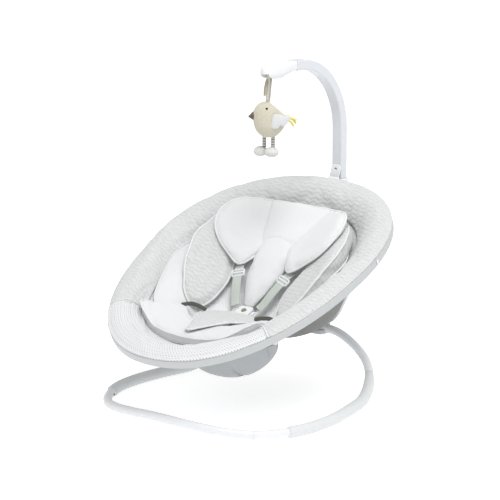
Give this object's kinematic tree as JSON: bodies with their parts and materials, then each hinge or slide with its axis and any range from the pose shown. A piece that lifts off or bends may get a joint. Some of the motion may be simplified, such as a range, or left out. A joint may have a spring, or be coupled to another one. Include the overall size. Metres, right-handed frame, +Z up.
{
  "type": "baby bouncer seat",
  "caption": "Egg-shaped padded baby bouncer seat on a bent floor tube, with an infant insert, a harness and a leaning toy arm that carries a hanging plush bird.",
  "frame": {"origin": "on the floor, under the middle of the whole seat's bounding box", "axes": "+Z up, -Y towards the baby's feet, +X to the baby's left"},
  "size_m": [0.569, 0.675, 0.7233],
  "materials": {
    "white_tube": "satin",
    "ring_tube": "satin",
    "grip_rubber": "matte",
    "white_plastic": "satin",
    "grey_plastic": "matte",
    "button_plastic": "matte",
    "knit": "matte",
    "air_mesh": "matte",
    "lining": "matte",
    "dome_cloth": "matte",
    "insert_cloth": "matte",
    "webbing": "matte",
    "plush": "matte",
    "beak_felt": "matte",
    "felt": "matte",
    "tail_cord": "matte",
    "steel": "satin",
    "eye_black": "gloss"
  },
  "bodies": {
    "base": {"front_tube": "white_tube", "left_side_tube": "white_tube", "right_side_tube": "white_tube", "left_grip_sleeve": "grip_rubber", "right_grip_sleeve": "grip_rubber", "left_snap_button": "steel", "right_snap_button": "steel"},
    "seat": {"ring_frame": "ring_tube", "rim_band": "grey_plastic", "rim_mesh": "air_mesh", "rim_knit": "knit", "hammock_liner": "lining", "front_bag": "lining", "back_pocket": "dome_cloth", "left_cradle_arm": "grey_plastic", "left_band_rivet": "white_plastic", "right_cradle_arm": "grey_plastic", "right_band_rivet": "white_plastic", "insert_base": "insert_cloth", "foot_cushion": "insert_cloth", "left_wing": "knit", "right_wing": "knit", "head_support": "insert_cloth", "body_pad": "insert_cloth", "crotch_panel": "knit", "buckle_body": "grey_plastic", "left_strap": "webbing", "right_strap": "webbing", "crotch_strap": "webbing", "arm_socket": "white_plastic", "socket_screw": "steel", "left_rear_tube": "white_tube", "right_rear_tube": "white_tube", "hub_lower": "grey_plastic", "hub_upper": "grey_plastic", "hub_screw_right": "steel", "hub_screw_left": "steel"},
    "toy_arm": {"toy_arm": "white_plastic", "arm_tip": "white_plastic", "toy_hook": "steel"},
    "toy": {"ribbon_loop": "plush", "bird_body": "plush", "bird_beak": "beak_felt", "bird_left_eye": "eye_black", "bird_right_eye": "eye_black", "bird_left_wing": "felt", "bird_right_wing": "felt", "bird_left_leg": "felt", "bird_right_leg": "felt", "bird_left_foot": "felt", "bird_right_foot": "felt", "bird_tail": "tail_cord"},
    "left_adjuster": {"left_adjuster": "white_plastic"},
    "right_adjuster": {"right_adjuster": "white_plastic"},
    "left_tongue": {"left_tongue": "white_plastic"},
    "right_tongue": {"right_tongue": "white_plastic"},
    "buckle_button": {"buckle_button": "button_plastic"}
  },
  "joints": [
    {"name": "seat_bounce", "type": "hinge", "parent": "base", "child": "seat", "pos_m": [0, 0.17475, 0.05454], "axis": [1, 0, 0], "range_deg": [-3.5, 5], "stiffness_Nm_per_rad": 150, "springref_deg": -1.92},
    {"name": "toy_arm_lift", "type": "slide", "parent": "seat", "child": "toy_arm", "axis": [0, 0, 1], "range_m": [0, 0.05]},
    {"name": "toy_swing", "type": "hinge", "parent": "toy_arm", "child": "toy", "pos_m": [0, 0.06746, 0.701], "axis": [1, 0, 0], "range_deg": [-35, 35]},
    {"name": "left_adjuster_slide", "type": "slide", "parent": "seat", "child": "left_adjuster", "axis": [-0.3367, -0.6547, -0.6768], "range_m": [-0.003, 0.022]},
    {"name": "right_adjuster_slide", "type": "slide", "parent": "seat", "child": "right_adjuster", "axis": [0.3367, -0.6547, -0.6768], "range_m": [-0.003, 0.022]},
    {"name": "left_tongue_slide", "type": "slide", "parent": "seat", "child": "left_tongue", "axis": [1, 0, 0], "range_m": [0, 0.03]},
    {"name": "right_tongue_slide", "type": "slide", "parent": "seat", "child": "right_tongue", "axis": [-1, 0, 0], "range_m": [0, 0.03]},
    {"name": "buckle_press", "type": "slide", "parent": "seat", "child": "buckle_button", "axis": [0, 0.4019, -0.9157], "range_m": [0, 0.002], "stiffness_N_per_m": 400, "springref_m": -0.002}
  ]
}
